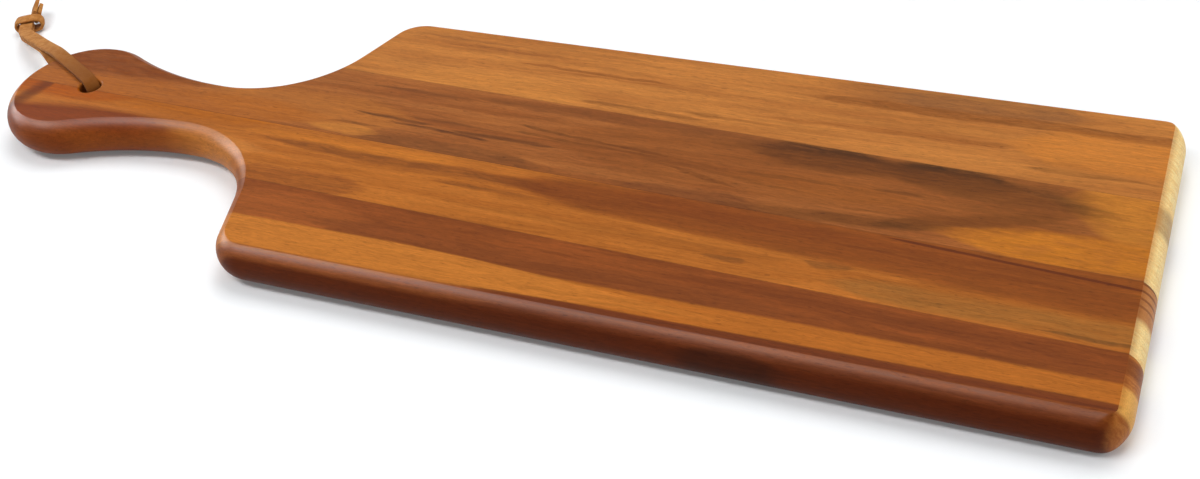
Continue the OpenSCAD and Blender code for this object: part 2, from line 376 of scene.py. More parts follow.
# %% [markdown]
# ## The blank
# The real board is cut from one glued blank, so its outline runs over all four staves as one curve.
# The outline is a chain of arcs, each tangent to the next: the blunt tip of the bulb, its cheek, the
# long hollow of the neck, the tighter hollow out to the shoulder, the shoulder, and the far corner.
# A traced list of points would look the same, but only arcs keep every join smooth when a radius
# is changed.

# %% Work out the outline
tip_c = Vector((TIP_R - HALF_L, 0))
cheek_y = HALF_BULB - CHEEK_R
cheek_c = Vector((tip_c.x - math.sqrt((TIP_R - CHEEK_R) ** 2 - cheek_y ** 2), cheek_y))
flare_y = HALF_NECK + FLARE_R
neck_x = cheek_c.x + math.sqrt((FLARE_R + CHEEK_R) ** 2 - (flare_y - cheek_y) ** 2)
flare_c = Vector((neck_x, flare_y))
sweep_c = Vector((neck_x, HALF_NECK + SWEEP_R))
both_r = SWEEP_R + SHOULDER_R
flank_l = (HALF_W - HALF_NECK - both_r * (1 - math.cos(FLANK))) / math.sin(FLANK)
shoulder_c = (sweep_c + both_r * Vector((math.sin(FLANK), -math.cos(FLANK)))
              + flank_l * Vector((math.cos(FLANK), math.sin(FLANK))))
tip_turn = math.atan2(cheek_c.y, cheek_c.x - tip_c.x)
cheek_turn = math.atan2(flare_c.y - cheek_c.y, flare_c.x - cheek_c.x)
RIGHT = math.pi / 2
# Each arc: its middle, its radius, whether it is hollow, and the directions of its two ends
OUTLINE_ARCS = [(tip_c, TIP_R, False, math.pi, tip_turn),
                (cheek_c, CHEEK_R, False, tip_turn, cheek_turn),
                (flare_c, FLARE_R, True, math.pi + cheek_turn, 3 * RIGHT),
                (sweep_c, SWEEP_R, True, 3 * RIGHT, 3 * RIGHT + FLANK),
                (shoulder_c, SHOULDER_R, False, RIGHT + FLANK, RIGHT)]
ARC_STEP = 1.5 * MM


def half_outline(inset):
    """Points along the back half of the outline, from the tip of the handle to the far end."""
    points = []
    for centre, radius, hollow, start, stop in OUTLINE_ARCS:
        steps = math.ceil(radius * abs(stop - start) / ARC_STEP)
        r = radius + inset if hollow else radius - inset
        for s in range(0 if not points else 1, steps + 1):
            turn = start + (stop - start) * s / steps
            points.append(centre + r * Vector((math.cos(turn), math.sin(turn))))
    corner_r = CORNER_R - (CORNER_R - FLAT_CORNER_R) * inset / RIM_INSET
    corner = Vector((HALF_L - inset - corner_r, HALF_W - inset - corner_r))
    steps = math.ceil(CORNER_R * RIGHT / ARC_STEP)
    for s in range(steps + 1):
        turn = RIGHT * (1 - s / steps)
        points.append(corner + corner_r * Vector((math.cos(turn), math.sin(turn))))
    return points


def outline(inset):
    """Points all round the board, drawn in by a distance."""
    back = half_outline(inset)
    front = [Vector((p.x, -p.y)) for p in reversed(back[1:])]
    return back + front


print("outline:", len(outline(0)), "points, neck at x =", round(neck_x / MM, 1), "mm")

# %% [markdown]
# ## Rounding the rim and drilling the hole
# The rim is rounded over from both faces, and a crisp edge stays where the flat top begins. In
# section it is an arc through the edges of both faces and the widest line between them. So the blank
# is made as rings: the same outline drawn in by a distance and lifted to a height, for each step
# round the arc. A bevel would melt that crisp edge away. The hole is cut by a turned drill, with the
# round of each mouth in its profile.

# %% Loft the blank and drill the hole
RIM_STEPS = 12
HOLE_STEPS = 64
MOUTH_R = 1.2 * MM
MOUTH_STEPS = 6
DRILL_OVERRUN = 1 * MM


def rim_steps():
    """How far in and how high each ring lies, from the underside round the rim to the top."""
    reach = math.asin(HALF_T / RIM_R)
    steps = []
    for s in range(-RIM_STEPS, RIM_STEPS + 1):
        turn = reach * s / RIM_STEPS
        steps.append((RIM_R * (1 - math.cos(turn)), RIM_R * math.sin(turn)))
    return steps


def make_blank():
    """The whole board before it is drilled and sawn."""
    rings = [[(p.x, p.y, height) for p in outline(inset)] for inset, height in rim_steps()]
    return link("blank", ring_mesh("blank", rings))


def make_drill():
    """A turned cutter: a plain bore that flares with a round at both mouths."""
    half = [(HOLE_R + MOUTH_R, HALF_T + DRILL_OVERRUN)]
    for s in range(MOUTH_STEPS + 1):
        turn = RIGHT * s / MOUTH_STEPS
        half.append((HOLE_R + MOUTH_R * (1 - math.sin(turn)), HALF_T - MOUTH_R * (1 - math.cos(turn))))
    profile = half + [(r, -z) for r, z in reversed(half)]
    rings = []
    for r, z in profile:
        ring = []
        for s in range(HOLE_STEPS):
            turn = 2 * math.pi * s / HOLE_STEPS
            ring.append(HOLE + Vector((r * math.cos(turn), r * math.sin(turn), z)))
        rings.append(ring)
    return link("drill", ring_mesh("drill", rings))


blank = make_blank()
drill = make_drill()
cut = blank.modifiers.new("hole", "BOOLEAN")
cut.operation = "DIFFERENCE"
cut.solver = "EXACT"
cut.object = drill
worked_out = bpy.context.evaluated_depsgraph_get()
drilled = bpy.data.meshes.new_from_object(blank.evaluated_get(worked_out))
bpy.data.objects.remove(drill)
bpy.data.objects.remove(blank)
print("blank has", len(drilled.vertices), "points and", len(drilled.polygons), "faces")

# %% [markdown]
# ## Sawing it into staves
# The seams are three straight, parallel lines, turned a little from the board's length, because the
# blank lay slightly askew when the outline was cut. Each stave is a copy of the blank with
# everything past its two seams sawn off and the cut closed, so neighbours meet face to face.

# %% Saw the staves apart
SEAM_TURN = math.radians(1.7)
SEAM_SHIFT = 9 * MM
SEAMS = {"back": 47 * MM, "centre": 0.0, "front": -38 * MM}
SAW_TOLERANCE = 1e-7
STAVE_CREASE = 20
seam_way = Vector((math.sin(SEAM_TURN), math.cos(SEAM_TURN), 0))


def saw(bm, across, keep_front):
    """Cuts along one seam, keeps the wood in front of it or behind it, and closes the cut."""
    place = Vector((0, -SEAM_SHIFT, 0)) + seam_way * across
    geometry = bm.verts[:] + bm.edges[:] + bm.faces[:]
    done = bmesh.ops.bisect_plane(bm, geom=geometry, dist=SAW_TOLERANCE, plane_co=place,
                                  plane_no=seam_way, clear_outer=keep_front, clear_inner=not keep_front)
    edges = [g for g in done["geom_cut"] if isinstance(g, bmesh.types.BMEdge)]
    bmesh.ops.holes_fill(bm, edges=edges, sides=0)


def make_stave(name, node, behind=None, in_front=None):
    """The part of the blank behind one seam, in front of another, or between the two."""
    bm = bmesh.new()
    bm.from_mesh(drilled)
    if behind is not None:
        saw(bm, behind, keep_front=False)
    if in_front is not None:
        saw(bm, in_front, keep_front=True)
    bmesh.ops.recalc_face_normals(bm, faces=bm.faces)
    stave = soften(link(name, mesh_from(name, bm)), degrees=STAVE_CREASE)
    weighted = stave.modifiers.new("even_shading", "WEIGHTED_NORMAL")
    weighted.mode = "FACE_AREA"
    weighted.keep_sharp = True
    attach(stave, "board")
    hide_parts(node)
    print(name, "has", len(stave.data.polygons), "faces")
    return stave


back_stave = make_stave("back_stave", "stave_back", behind=SEAMS["back"])
centre_back_stave = make_stave("centre_back_stave", "stave_centre_back",
                               behind=SEAMS["centre"], in_front=SEAMS["back"])
centre_front_stave = make_stave("centre_front_stave", "stave_centre_front",
                                behind=SEAMS["front"], in_front=SEAMS["centre"])
front_stave = make_stave("front_stave", "stave_front", in_front=SEAMS["front"])
bpy.data.meshes.remove(drilled)

# %% [markdown]
# ## Colours
# Colours are written here as a painter would read them off a screen, and turned into the linear
# values that shaders work in. Linear values could be typed in too, but nobody can picture them.

# %% Write colours as seen
def tone(red, green, blue):
    """A colour from 0 to 255 as on a screen, as the linear value that a shader takes."""
    def linear(part):
        part /= 255
        return part / 12.92 if part <= 0.04045 else ((part + 0.055) / 1.055) ** 2.4
    return (linear(red), linear(green), linear(blue), 1)


print("mid brown is", [round(v, 3) for v in tone(150, 88, 50)[:3]])

# %% [markdown]
# ## A bench for node trees
# A finish is a tree of small nodes. It could be joined by hand in the shader editor, but a script can
# be read, changed and run again. The bench adds a node, sets it and joins it in one call, so that
# each finish below reads as a short recipe.

# %% Set up the bench
class Bench:
    """Adds nodes to one tree and joins them."""

    def __init__(self, tree):
        self.tree = tree

    def put(self, node, name, value):
        """Joins a socket to one input of a node, or sets that input to a plain value."""
        if isinstance(value, bpy.types.NodeSocket):
            self.tree.links.new(value, node.inputs[name])
        else:
            node.inputs[name].default_value = value

    def add(self, kind, inputs, **settings):
        """A new node with its settings and inputs."""
        node = self.tree.nodes.new(kind)
        for name, value in settings.items():
            setattr(node, name, value)
        for name, value in inputs.items():
            self.put(node, name, value)
        return node

    def sum(self, operation, *values):
        """One operation on numbers."""
        return self.add("ShaderNodeMath", dict(enumerate(values)), operation=operation).outputs[0]

    def ease(self, value, low, high, to_low=0.0, to_high=1.0):
        """A smooth step from one value to another."""
        inputs = {"Value": value, "From Min": low, "From Max": high, "To Min": to_low, "To Max": to_high}
        return self.add("ShaderNodeMapRange", inputs, interpolation_type="SMOOTHSTEP").outputs["Result"]

    def between(self, share, low, high):
        """A number between two others, by a share."""
        return self.add("ShaderNodeMix", {0: share, 2: low, 3: high}, data_type="FLOAT").outputs[0]

    def blend(self, share, under, over):
        """One colour laid over another, by a share."""
        return self.add("ShaderNodeMix", {0: share, 6: under, 7: over}, data_type="RGBA").outputs[2]

    def split(self, place):
        """The three numbers of a place."""
        return self.add("ShaderNodeSeparateXYZ", {0: place}).outputs

    def join(self, along, across, up):
        """A place from its three numbers."""
        return self.add("ShaderNodeCombineXYZ", {0: along, 1: across, 2: up}).outputs[0]

    def stretch(self, place, scales):
        """The place with each direction scaled by itself."""
        return self.add("ShaderNodeVectorMath", {0: place, 1: scales}, operation="MULTIPLY").outputs[0]

    def noise(self, place, marks, layers, rough):
        """Noise with so many marks per millimetre each way, and finer layers of marks on them."""
        inputs = {"Vector": self.stretch(place, marks), "Scale": 1.0, "Detail": layers, "Roughness": rough}
        return self.add("ShaderNodeTexNoise", inputs).outputs["Fac"]

    def relief(self, height, strength, depth):
        """The surface's direction where a height makes it rough."""
        inputs = {"Height": height, "Strength": strength, "Distance": depth}
        return self.add("ShaderNodeBump", inputs).outputs["Normal"]


print("the bench can", [name for name in vars(Bench) if not name.startswith("_")])


# %% Helpers for every finish
PER_MM = (1 / MM, 1 / MM, 1 / MM)


def new_finish(name):
    """A material with its bench and its shader, ready for a recipe."""
    finish = bpy.data.materials.new(name)
    finish.use_nodes = True
    return finish, Bench(finish.node_tree), finish.node_tree.nodes["Principled BSDF"]


def dress(piece, finish):
    """Gives a piece its finish, in place of any that it has."""
    piece.data.materials.clear()
    piece.data.materials.append(finish)
    print(piece.name, "wears", finish.name, "of", len(finish.node_tree.nodes), "nodes")


# %% [markdown]
# ## A streak of figure
# Hardwood is drawn in streaks: soft bands of heartwood, thin dark growth lines, pale sapwood. Each is
# long, nearly straight, and tapers and fades at its ends. One node group draws one such streak across the
# stave, and every stave's figure is a short list of them. Painting a picture of the
# wood would show its seams from other sides, and this doesn't: a streak is a sheet that goes through
# the whole thickness, so it also runs over the rounded rim.

# %% Build the streak group
STREAK_INPUTS = ["Middle", "Slope", "Half width", "Softness", "From", "To", "Fade"]
# How far a streak tapers before it is gone, and how soon it is at its full strength
THINNEST = 0.02
FULL_SOON = 1.6


def streak_group():
    """The share of one streak at a place: 1 on the streak and 0 beside it."""
    group = bpy.data.node_groups.new("streak", "ShaderNodeTree")
    group.interface.new_socket("Place", in_out="INPUT", socket_type="NodeSocketVector")
    for name in STREAK_INPUTS:
        group.interface.new_socket(name, in_out="INPUT", socket_type="NodeSocketFloat")
    group.interface.new_socket("Share", in_out="OUTPUT", socket_type="NodeSocketFloat")
    bench = Bench(group)
    given = bench.add("NodeGroupInput", {}).outputs
    place = bench.split(given["Place"])
    along = bench.sum("SUBTRACT", place["X"], given["From"])
    line = bench.sum("MULTIPLY_ADD", along, given["Slope"], given["Middle"])
    off = bench.sum("ABSOLUTE", bench.sum("SUBTRACT", place["Y"], line))
    before = bench.sum("MULTIPLY", given["Fade"], -1.0)
    begins = bench.ease(along, before, given["Fade"])
    past_end = bench.sum("SUBTRACT", place["X"], given["To"])
    ends = bench.ease(past_end, before, given["Fade"], 1.0, 0.0)
    lasts = bench.sum("MULTIPLY", begins, ends)
    narrowed = bench.sum("DIVIDE", off, bench.sum("MAXIMUM", lasts, THINNEST))
    outer = bench.sum("ADD", given["Half width"], given["Softness"])
    inside = bench.ease(narrowed, given["Half width"], outer, 1.0, 0.0)
    strength = bench.sum("MINIMUM", bench.sum("MULTIPLY", lasts, FULL_SOON), 1.0)
    bench.add("NodeGroupOutput", {"Share": bench.sum("MULTIPLY", inside, strength)})
    return group


STREAK = streak_group()
print("a streak takes", len(STREAK.nodes), "nodes")

# %% [markdown]
# ## The run of the grain
# All four staves share one recipe, which the next four steps build up. The grain of real wood wanders
# by a few millimetres and leans as it goes down into the board. So a place on the board is first turned
# into a place in the wood: slow and fine noise shift it across, and its depth adds the lean. Soft
# streaks, fibres and pores follow that bent grain. Crisp streaks, such as the hair-thin line of
# glue along a seam, follow the lean alone, because the bend would carry them off their line.

# %% Bend the grain
# Each noise has its marks per millimetre along the board, across it and through it, then its
# number of finer layers and how rough they make it
SLOW_BEND = ((0.012, 0.05, 0.05), 1.0, 0.5)
FINE_BEND = ((0.06, 0.25, 0.25), 2.0, 0.5)
SLOW_REACH = 4.0
FINE_REACH = 3.0


def grain_places(bench, place, tilt):
    """The place along the bent grain, and along the same grain without its bend."""
    part = bench.split(place)
    along, across, up = part["X"], part["Y"], part["Z"]
    slow = bench.sum("MULTIPLY_ADD", bench.noise(place, *SLOW_BEND), SLOW_REACH, -SLOW_REACH / 2)
    fine = bench.sum("MULTIPLY_ADD", bench.noise(place, *FINE_BEND), FINE_REACH, -FINE_REACH / 2)
    lean = bench.sum("MULTIPLY", bench.sum("SUBTRACT", up, HALF_T / MM), tilt)
    bend = bench.sum("ADD", bench.sum("ADD", slow, fine), lean)
    grain = bench.join(along, bench.sum("ADD", across, bend), up)
    straight = bench.join(along, bench.sum("ADD", across, lean), up)
    return grain, straight


print("the grain bends by up to", (SLOW_REACH + FINE_REACH) / 2, "mm to each side")

# %% [markdown]
# ## Laying streaks
# A stave's figure is a list of streaks, laid one over the other as a painter glazes wood. Each row
# of a list says where one streak runs, how strong it is and its tone. Streaks could be drawn by one
# large noise too, but then no patch would lie where the real one has it.

# %% Lay streaks over a colour
def lay(bench, colour, place, rows, uneven=None):
    """The colour with streaks laid over it in turn; uneven, where given, breaks them up."""
    for *shape, strength, over in rows:
        inputs = {"Place": place, **dict(zip(STREAK_INPUTS, shape))}
        streak = bench.add("ShaderNodeGroup", inputs, node_tree=STREAK)
        share = bench.sum("MULTIPLY", streak.outputs["Share"], strength)
        if uneven is not None:
            share = bench.sum("MULTIPLY", share, uneven)
        share = bench.add("ShaderNodeClamp", {0: share}).outputs[0]
        colour = bench.blend(share, colour, tone(*over))
    return colour


# %% [markdown]
# ## Fibres and pores
# Seen close, the wood is drawn in long fibres, finer hairs and short dark pores. All three are noise
# that is far longer along the grain than across it, because that is how wood is built. They darken
# and lighten the colour, and the same values make the faint relief, so that both always agree.

# %% Draw fibres and pores
FIBRES = ((0.035, 0.8, 0.8), 4.0, 0.65)
HAIRS = ((0.3, 2.6, 2.6), 2.0, 0.6)
PORES = ((0.2, 1.9, 1.9), 2.0, 0.7)
# A range says where a noise starts and stops to count, and what it becomes at both
PORE_RANGE = (0.61, 0.68, 1.0, 0.7)
# How much a noise lightens the wood, and how light the wood is without it
FIBRE_LIGHT = (0.84, 0.58)
HAIR_LIGHT = (0.7, 0.65)


def fibres_and_pores(bench, grain):
    """The fibres, the hairs and the pores, and how light all three leave the wood."""
    fibre = bench.noise(grain, *FIBRES)
    hair = bench.noise(grain, *HAIRS)
    pores = bench.ease(bench.noise(grain, *PORES), *PORE_RANGE)
    light = bench.sum("MULTIPLY_ADD", fibre, *FIBRE_LIGHT)
    light = bench.sum("MULTIPLY", light, bench.sum("MULTIPLY_ADD", hair, *HAIR_LIGHT))
    return fibre, hair, pores, bench.sum("MULTIPLY", light, pores)


# %% [markdown]
# ## End grain
# At the far end the saw went across the fibres. End grain takes oil differently and is paler, with
# fine dots in place of long fibres. Its pale tones are partly the end grain's own and partly painted
# light, brighter than the lamps leave the end. It could be a finish of its own on the end faces, but
# the rim is rounded, so there is no edge to stop at. Here it comes in where the surface turns to face
# along the board, so it follows the rounding and the corners.

# %% Set in the end grain
RINGS = ((0.2, 0.9, 0.12), 2.0, 0.5)
DOTS = ((1.6, 1.6, 1.6), 2.0, 0.7)
RING_RANGE = (0.3, 0.7)
DOT_RANGE = (0.35, 0.7, 1.06, 0.86)
# How much the surface has to face along the board, and how far along it, for end grain to show
END_FACING = (0.3, 0.76)
FAR_END = (200.0, 215.0)


def end_share(bench, place, normal):
    """1 on the end grain and 0 off it."""
    facing = bench.ease(bench.split(normal)["X"], *END_FACING)
    return bench.sum("MULTIPLY", facing, bench.ease(bench.split(place)["X"], *FAR_END))


def end_grain(bench, place, grain, straight, tones, streaks):
    """The colour of the end grain, partly painted light, and how light its dots leave it."""
    rings = bench.ease(bench.noise(grain, *RINGS), *RING_RANGE)
    colour = bench.blend(rings, tone(*tones[0]), tone(*tones[1]))
    return lay(bench, colour, straight, streaks), bench.ease(bench.noise(place, *DOTS), *DOT_RANGE)


# %% [markdown]
# ## The wood
# Object coordinates in millimetres carry the whole finish, so it goes through the wood as real figure
# does and nothing has to be unwrapped. On a ground of two tones come the soft streaks, the crisp
# streaks and the fibres, and the end grain last. The surface is oiled and rubbed: fairly smooth,
# with little gloss and a faint relief from the pores.

# %% Mix the wood
BANDS = ((0.01, 0.14, 0.1), 4.0, 0.6)
BREAKS = ((0.09, 0.5, 0.5), 4.0, 0.65)
BAND_RANGE = (0.34, 0.68)
BREAK_RANGE = (0.3, 0.65, 0.62, 1.15)
ROUGH_RANGE = (0.7, 1.3, 0.34, 0.46)
WOOD_GLOSS = 0.06
HAIR_RELIEF = 0.4
WOOD_RELIEF = 0.25
PORE_DEPTH = 0.08 * MM


def wood(name, ground, streaks, end_ground, end_streaks, tilt=0.1):
    """A finish of ground tones, streaks, fibres and pores, with its end grain.

    The tilt is how far the figure leans across for each millimetre down into the wood."""
    finish, bench, shader = new_finish(name)
    coordinates = bench.add("ShaderNodeTexCoord", {}).outputs
    place = bench.stretch(coordinates["Object"], PER_MM)
    grain, straight = grain_places(bench, place, tilt)
    bands = bench.ease(bench.noise(grain, *BANDS), *BAND_RANGE)
    uneven = bench.ease(bench.noise(grain, *BREAKS), *BREAK_RANGE)
    colour = bench.blend(bands, tone(*ground[0]), tone(*ground[1]))
    colour = lay(bench, colour, grain, [row for kind, *row in streaks if kind == "soft"], uneven)
    colour = lay(bench, colour, straight, [row for kind, *row in streaks if kind == "crisp"])
    fibre, hair, pores, light = fibres_and_pores(bench, grain)

    ended = end_share(bench, place, coordinates["Normal"])
    end_colour, end_light = end_grain(bench, place, grain, straight, end_ground, end_streaks)
    colour = bench.blend(ended, colour, end_colour)
    light = bench.between(ended, light, end_light)
    shade = bench.add("ShaderNodeVectorMath", {0: colour, 3: light}, operation="SCALE").outputs[0]
    bench.put(shader, "Base Color", shade)
    bench.put(shader, "Roughness", bench.ease(bench.sum("ADD", fibre, hair), *ROUGH_RANGE))
    bench.put(shader, "Specular IOR Level", WOOD_GLOSS)
    height = bench.sum("ADD", bench.sum("MULTIPLY", hair, HAIR_RELIEF), pores)
    bench.put(shader, "Normal", bench.relief(height, WOOD_RELIEF, PORE_DEPTH))
    return finish


# %% [markdown]
# ## The figure of the back stave
# The back stave is golden and quiet, with a darker band near its back edge. Its rows are read off the
# board: broad bands and thin lines alike. Their places are millimetres in the board's own
# axes, so a row can be checked against the board with a ruler.

# %% Back stave: golden, with a darker band near its back edge and painted shade along its back rim
# Each row: the kind of streak, its middle where it begins, its slope, its half width, the softness of
# its edges, where it begins and ends along the board, how long it fades, its strength and its tone
GOLDEN = [(186, 118, 54), (166, 101, 44)]
# The pale end tones are partly the end grain's own and partly painted light
END_GOLD_PAINTED_LIT = [(255, 226, 158), (246, 204, 130)]
back_figure = [
    ("soft", 78, 0, 6, 6, 120, 215, 25, 0.5, (146, 90, 44)),
    ("soft", 69.5, -0.004, 2.2, 1.6, 110, 262, 14, 0.8, (134, 76, 28)),
    ("soft", 76.5, 0, 0.4, 1.5, -74, -32, 16, 0.5, (124, 72, 34)),
    ("soft", 72, -0.01, 0.4, 1.3, -62, -18, 16, 0.45, (128, 74, 34)),
    ("soft", 64, -0.02, 0.5, 0.8, -25, 45, 12, 0.6, (134, 74, 28)),
    ("soft", 61, -0.01, 0.4, 0.7, -5, 60, 12, 0.5, (140, 78, 30)),
    ("soft", 77, 0, 3, 4, 140, 212, 14, 0.45, (128, 84, 48)),
    ("soft", 55, 0, 9, 6, 196, 262, 18, 0.6, (198, 120, 44)),
    ("soft", 50, 0.02, 0.9, 1.4, 90, 190, 20, 0.45, (148, 84, 32)),
    ("soft", 41.5, 0, 1.0, 1.2, 14, 66, 10, 0.6, (122, 70, 28)),
    ("soft", 45, -0.02, 0.6, 0.9, 60, 120, 10, 0.5, (136, 80, 30)),
    ("soft", 40, 0, 0.8, 0.9, 200, 240, 8, 0.55, (130, 78, 30)),
    ("soft", 45, -0.01, 5, 5, -70, 10, 20, 0.4, (200, 130, 58)),
    # Painted shade: a dark line along the back rim
    ("crisp", 89.5, 0, 1.6, 2.4, -92, 236, 20, 0.7, (112, 62, 30)),
    ("crisp", 45.74, -0.0297, 0.1, 0.4, -260, 262, 1, 0.55, (92, 48, 20))]
back_wood = wood("back_wood", GOLDEN, back_figure, END_GOLD_PAINTED_LIT, [])
dress(back_stave, back_wood)

# %% [markdown]
# ## The figure of the centre-back stave
# This stave is red-brown and the liveliest of the four: a fan of thin growth lines spreads over its
# middle, and dark patches lie along its back seam towards the far end. Each line of the fan is a
# row with its own slope. At the handle it is darker, and by the far end it turns golden.

# %% Centre-back stave: red-brown, with a fan of growth lines and dark patches by its back seam
BROWN = [(157, 93, 42), (134, 74, 30)]
centre_back_figure = [
    ("soft", 22, 0, 17, 10, 225, 290, 21, 0.95, (186, 116, 40)),
    ("soft", -6, 0, 7, 5, 186, 264, 26, 0.9, (184, 110, 30)),
    ("soft", 9, 0, 8, 8, -150, -58, 26, 0.6, (174, 105, 42)),
    ("crisp", 16, -0.02, 12, 8, 20, 218, 38, 0.5, (126, 68, 22)),
    ("soft", 8, 0, 3, 5, 96, 160, 22, 0.5, (160, 90, 30)),
    ("soft", 32, -0.01, 0.4, 1.3, -76, -34, 16, 0.6, (98, 52, 22)),
    ("soft", 11.5, -0.05, 0.5, 1.3, -78, -44, 10, 0.75, (88, 48, 22)),
    ("soft", 8, -0.07, 0.5, 1.1, -60, -16, 9, 0.85, (84, 44, 20)),
    ("soft", 14, -0.03, 0.3, 0.9, -52, -12, 12, 0.5, (100, 56, 24)),
    ("soft", 2.5, 0.02, 0.4, 1.0, -88, -66, 8, 0.6, (98, 54, 24)),
    ("soft", 8, -0.01, 0.8, 1.2, -30, 14, 8, 0.75, (98, 54, 22)),
    ("soft", 20, -0.1, 0.5, 0.7, -4, 62, 8, 0.75, (98, 54, 20)),
    ("soft", 15, -0.055, 0.5, 0.7, -4, 60, 8, 0.75, (98, 54, 20)),
    ("soft", 17, -0.12, 0.4, 0.6, 30, 90, 8, 0.65, (104, 56, 20)),
    ("soft", 9, -0.23, 0.5, 0.7, 56, 94, 6, 0.7, (102, 54, 20)),
    ("soft", 12, -0.1, 0.5, 0.8, 40, 120, 12, 0.55, (108, 58, 22)),
    ("soft", -5, -0.02, 3.5, 3.5, -70, 8, 14, 0.7, (108, 60, 24)),
    ("soft", -2, 0, 2, 2.5, -94, -66, 9, 0.5, (196, 126, 52)),
    ("soft", 29, -0.02, 3, 8, 84, 216, 28, 0.5, (104, 58, 18)),
    ("soft", 28, -0.03, 4, 8, 98, 150, 20, 1.0, (66, 36, 10)),
    ("soft", 27, -0.04, 4, 8, 150, 194, 18, 1.0, (62, 34, 8)),
    ("soft", 21, -0.05, 2, 10, 170, 226, 26, 0.7, (78, 46, 14)),
    ("soft", -12, 0.08, 1.6, 3.5, 88, 172, 18, 0.6, (94, 52, 14)),
    ("soft", -7, 0.3, 1.8, 4, 154, 214, 12, 0.7, (90, 50, 12)),
    ("soft", 10, -0.05, 1, 4, 180, 222, 18, 0.4, (96, 56, 18)),
    ("soft", 12.5, 0, 0.5, 0.7, 146, 164, 5, 0.7, (86, 48, 20)),
    ("soft", 10.5, 0.01, 0.6, 0.8, 96, 130, 8, 0.65, (98, 54, 22)),
    ("soft", 34, -0.015, 2, 3, -24, 104, 30, 0.5, (112, 62, 26)),
    ("soft", -9, 0, 3, 3, 52, 104, 14, 0.6, (110, 60, 26)),
    ("soft", 25, 0, 11, 9, -262, -150, 40, 0.88, (118, 56, 4)),
    ("soft", 2, 0, 5, 7, -262, -100, 30, 0.7, (162, 90, 26)),
    ("crisp", -1.28, -0.0297, 0.1, 0.4, -260, 262, 1, 0.55, (84, 42, 18))]
centre_back_wood = wood("centre_back_wood", BROWN, centre_back_figure, END_GOLD_PAINTED_LIT,
                        [(21, 0, 5, 5, 240, 260, 1, 0.6, (150, 104, 62))])
dress(centre_back_stave, centre_back_wood)

# %% [markdown]
# ## The figure of the centre-front stave
# This stave is amber, with a red-brown heart by the centre seam that spreads towards the far end.
# The heart has a clear edge, so its rows are crisp. Its thin dark rings also show in the end grain,
# where a short list of its own repeats them.

# %% Centre-front stave: amber, with a red-brown heart along the centre seam
AMBER = [(179, 105, 37), (158, 89, 28)]
centre_front_figure = [
    ("crisp", -18, -0.055, 5, 7, 14, 266, 34, 0.85, (116, 56, 14)),
    ("crisp", -14, -0.02, 4, 4, 60, 266, 30, 0.8, (122, 60, 16)),
    ("crisp", -26, -0.04, 2.5, 4.5, 60, 266, 34, 0.55, (134, 70, 20)),
    ("soft", -16.5, -0.02, 1.2, 3.4, -104, 24, 26, 0.72, (114, 60, 20)),
    ("soft", -13, 0, 1.2, 2.4, -120, -20, 20, 0.5, (192, 114, 36)),
    ("soft", -26, 0, 0.4, 1.6, -20, 20, 16, 0.5, (114, 62, 22)),
    ("soft", -24, 0.02, 0.8, 2.4, -110, -20, 26, 0.4, (140, 76, 24)),
    ("crisp", -15, -0.07, 0.4, 0.6, 160, 252, 10, 0.8, (84, 34, 10)),
    ("soft", -18, -0.055, 0.5, 0.6, 60, 254, 14, 0.6, (94, 44, 12)),
    ("soft", -21, -0.055, 0.4, 0.6, 80, 254, 14, 0.6, (96, 44, 12)),
    ("soft", -24, -0.05, 0.5, 0.6, 90, 254, 14, 0.55, (100, 48, 14)),
    ("soft", -36, 0, 1.4, 1.6, 134, 150, 4, 0.65, (112, 66, 26)),
    ("soft", -42, 0, 0.9, 1.1, 96, 112, 4, 0.65, (112, 64, 24)),
    ("soft", -37, -0.01, 0.8, 2.2, 0, 120, 34, 0.4, (142, 82, 26)),
    ("soft", -40, 0, 5, 4, -114, -54, 14, 0.65, (132, 70, 24)),
    ("soft", -45, -0.01, 3.5, 4, 150, 262, 16, 0.65, (142, 92, 38)),
    ("soft", -50.5, 0, 0.3, 0.8, 222, 256, 10, 0.6, (92, 56, 22)),
    ("soft", -3, 0, 4, 6, -264, -110, 24, 0.85, (162, 88, 14)),
    ("soft", -3, 0, 5, 7, -264, -196, 26, 0.85, (154, 72, 0)),
    ("crisp", -29, 0.12, 4, 7, -262, -174, 42, 0.9, (108, 40, 0)),
    ("soft", -29, 0.09, 0.8, 3, -246, -190, 20, 0.8, (76, 28, 2)),
    ("crisp", -31, 2.6, 1, 22, -246, -232, 6, 0.75, (84, 32, 2)),
    ("crisp", -36, 0, 2.4, 5, -264, -196, 26, 0.6, (132, 62, 20)),
    ("crisp", -37, 0.05, 0.8, 5.5, -226, -182, 18, 0.6, (64, 28, 8)),
    ("crisp", -25, 0, 3, 6, -166, -112, 20, 0.8, (190, 118, 52)),
    ("crisp", -36, 0.12, 7, 5, -264, -158, 26, 0.75, (128, 58, 16)),
    ("crisp", -39.3, -0.0297, 0.1, 0.4, -260, 262, 1, 0.6, (84, 42, 16))]
centre_front_wood = wood("centre_front_wood", AMBER, centre_front_figure, END_GOLD_PAINTED_LIT,
                         [(-26, 0, 8, 4, 240, 260, 1, 0.85, (176, 98, 40)),
                          (-17, 0, 0.5, 0.5, 240, 260, 1, 0.8, (96, 40, 22)),
                          (-21, 0, 0.4, 0.4, 240, 260, 1, 0.7, (104, 46, 24)),
                          (-25, 0, 0.4, 0.4, 240, 260, 1, 0.7, (110, 52, 28)),
                          (-29, 0, 0.4, 0.4, 240, 260, 1, 0.6, (116, 58, 30))])
dress(centre_front_stave, centre_front_wood)
